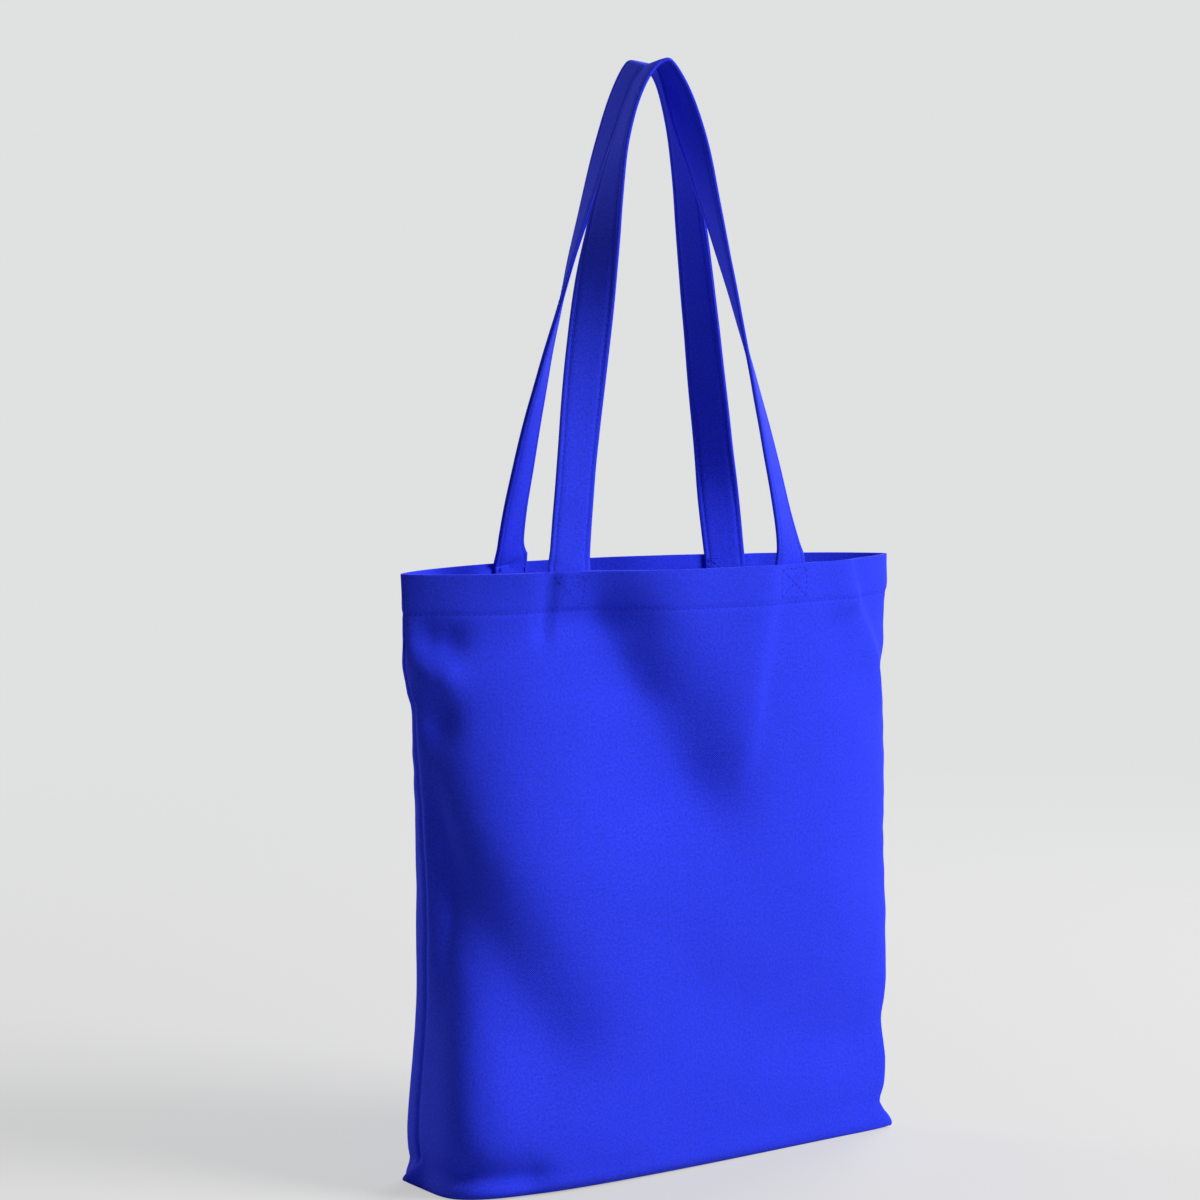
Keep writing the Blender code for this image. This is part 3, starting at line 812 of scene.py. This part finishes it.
def cloth_material(name, weave, slubs, dye, pitch):
    """Dyed cotton: woven relief, uneven yarns and a matt, slightly downy surface."""
    material, tree, shader, grain = new_finish(name)
    shader.inputs["Specular IOR Level"].default_value = CLOTH_GLOSS
    shader.inputs["Sheen Weight"].default_value = DOWN
    shader.inputs["Sheen Roughness"].default_value = DOWN_ROUGHNESS
    shader.inputs["Sheen Tint"].default_value = DOWN_TINT
    woven = place_group(tree, weave, grain, "Thread Pitch", pitch)
    uneven = place_group(tree, slubs, grain, "Slub Size", SLUBS_PER_METRE)
    tone = add_sum(
        tree,
        add_math(tree, "MULTIPLY", woven["Height"], WEAVE_TONE),
        add_math(tree, "MULTIPLY", woven["Yarn Tone"], YARN_TONE),
        add_math(tree, "MULTIPLY", uneven["Slubs"], SLUB_TONE),
        add_math(tree, "MULTIPLY", uneven["Cloud"], CLOUD_TONE),
        add_math(tree, "MULTIPLY_ADD", uneven["Lint"], LINT_TONE, TONE_START))
    tree.links.new(add_dye(tree, tone, dye), shader.inputs["Base Color"])
    rough = add_math(tree, "MULTIPLY_ADD", uneven["Slubs"], SLUB_ROUGHNESS, CLOTH_ROUGHNESS)
    tree.links.new(rough, shader.inputs["Roughness"])
    relief = tree.nodes.new("ShaderNodeBump")
    relief.inputs["Strength"].default_value = RELIEF_STRENGTH
    relief.inputs["Distance"].default_value = RELIEF_DEPTH
    height = add_sum(tree, woven["Height"], uneven["Slubs"], uneven["Lint"])
    tree.links.new(height, relief.inputs["Height"])
    tree.links.new(relief.outputs[0], shader.inputs["Normal"])
    return material


def thread_material(name, dye):
    """Twisted sewing thread, a little smoother than the cloth."""
    material, tree, shader, grain = new_finish(name)
    shader.inputs["Specular IOR Level"].default_value = THREAD_GLOSS
    twist = tree.nodes.new("ShaderNodeTexWave")
    twist.bands_direction = "DIAGONAL"
    twist.inputs["Scale"].default_value = TWISTS
    tree.links.new(grain, twist.inputs["Vector"])
    strand = twist.outputs["Fac"]
    tree.links.new(add_dye(tree, strand, dye), shader.inputs["Base Color"])
    rough = add_math(tree, "MULTIPLY_ADD", strand, TWIST_ROUGHNESS, THREAD_ROUGHNESS)
    tree.links.new(rough, shader.inputs["Roughness"])
    return material


def make_floor():
    """A pale studio floor that fades into the backdrop away from the bag."""
    mesh = bpy.data.meshes.new("floor")
    corners = ((-1, -1), (1, -1), (1, 1), (-1, 1))
    corners = [(x * FLOOR_REACH, y * FLOOR_REACH, 0) for x, y in corners]
    mesh.from_pydata(corners, [], [(0, 1, 2, 3)])
    floor = bpy.data.objects.new("floor", mesh)
    bpy.context.scene.collection.objects.link(floor)
    material = bpy.data.materials.new("studio_floor")
    material.use_nodes = True
    tree = material.node_tree
    shader = tree.nodes["Principled BSDF"]
    shader.inputs["Base Color"].default_value = FLOOR_GREY
    shader.inputs["Roughness"].default_value = FLOOR_ROUGHNESS
    shader.inputs["Specular IOR Level"].default_value = FLOOR_GLOSS
    seen = tree.nodes.new("ShaderNodeEmission")
    seen.inputs["Color"].default_value = FLOOR_SEEN
    ray = tree.nodes.new("ShaderNodeLightPath")
    lighter = tree.nodes.new("ShaderNodeMixShader")
    share = add_math(tree, "MULTIPLY", ray.outputs["Is Camera Ray"], FLOOR_LIGHTER)
    tree.links.new(share, lighter.inputs[0])
    tree.links.new(shader.outputs[0], lighter.inputs[1])
    tree.links.new(seen.outputs[0], lighter.inputs[2])
    place = tree.nodes.new("ShaderNodeNewGeometry")
    away = tree.nodes.new("ShaderNodeVectorMath")
    away.operation = "LENGTH"
    tree.links.new(place.outputs["Position"], away.inputs[0])
    fade = tree.nodes.new("ShaderNodeMapRange")
    fade.interpolation_type = "SMOOTHSTEP"
    fade.inputs["From Min"].default_value, fade.inputs["From Max"].default_value = FLOOR_FADE
    tree.links.new(away.outputs["Value"], fade.inputs["Value"])
    gone = tree.nodes.new("ShaderNodeBsdfTransparent")
    edge = tree.nodes.new("ShaderNodeMixShader")
    tree.links.new(fade.outputs[0], edge.inputs[0])
    tree.links.new(lighter.outputs[0], edge.inputs[1])
    tree.links.new(gone.outputs[0], edge.inputs[2])
    tree.links.new(edge.outputs[0], tree.nodes["Material Output"].inputs[0])
    mesh.materials.append(material)


def make_backdrop():
    """The room's soft light, and a pale grey behind the bag."""
    world = bpy.data.worlds.new("studio")
    bpy.context.scene.world = world
    world.use_nodes = True
    tree = world.node_tree
    soft = tree.nodes["Background"]
    soft.inputs["Color"].default_value = ROOM_LIGHT
    soft.inputs["Strength"].default_value = ROOM_STRENGTH
    seen = tree.nodes.new("ShaderNodeBackground")
    seen.inputs["Color"].default_value = BACKDROP
    ray = tree.nodes.new("ShaderNodeLightPath")
    either = add_math(tree, "MAXIMUM", ray.outputs["Is Camera Ray"], ray.outputs["Is Glossy Ray"])
    either = add_math(tree, "MAXIMUM", either, ray.outputs["Is Transmission Ray"])
    mix = tree.nodes.new("ShaderNodeMixShader")
    tree.links.new(either, mix.inputs[0])
    tree.links.new(soft.outputs[0], mix.inputs[1])
    tree.links.new(seen.outputs[0], mix.inputs[2])
    tree.links.new(mix.outputs[0], tree.nodes["World Output"].inputs[0])


def add_lamp(name, place, target, size, power, colour):
    """A square soft light aimed at a point."""
    data = bpy.data.lights.new(name, "AREA")
    data.size = size
    data.energy = power
    data.color = colour
    lamp = bpy.data.objects.new(name, data)
    lamp.location = place
    lamp.rotation_euler = (Vector(target) - Vector(place)).to_track_quat("-Z", "Y").to_euler()
    bpy.context.scene.collection.objects.link(lamp)


def make_camera():
    """The photograph's view: from the front left, a little above the middle of the bag."""
    data = bpy.data.cameras.new("camera")
    data.lens = LENS
    camera = bpy.data.objects.new("camera", data)
    camera.location = CAMERA_PLACE
    camera.rotation_euler = (math.radians(90 - CAMERA_DIP), 0.0, math.radians(-CAMERA_YAW))
    bpy.context.scene.collection.objects.link(camera)
    bpy.context.scene.camera = camera


weave = weave_group()
slubs = slub_group()
canvas = cloth_material("blue_canvas", weave, slubs, CANVAS_DYE, CANVAS_PITCH)
webbing = cloth_material("blue_strap_canvas", weave, slubs, STRAP_DYE, STRAP_PITCH)
thread = thread_material("sewing_thread", THREAD_DYE)

make_canvas(canvas)
make_handle("front_strap", "front_handle", True, webbing)
make_handle("back_strap", "back_handle", False, webbing)
make_stitches("hem_stitching", hem_runs(), thread)
make_stitches("handle_stitching", strap_runs(True) + strap_runs(False), thread)
make_stitches("foot_stitching", [run for front in (True, False) for side in (-1, 1)
                                 for run in box_runs(front, side)], thread)

make_floor()
make_backdrop()
for lamp in LAMPS:
    add_lamp(*lamp)
make_camera()
bpy.context.scene.view_settings.view_transform = "Standard"
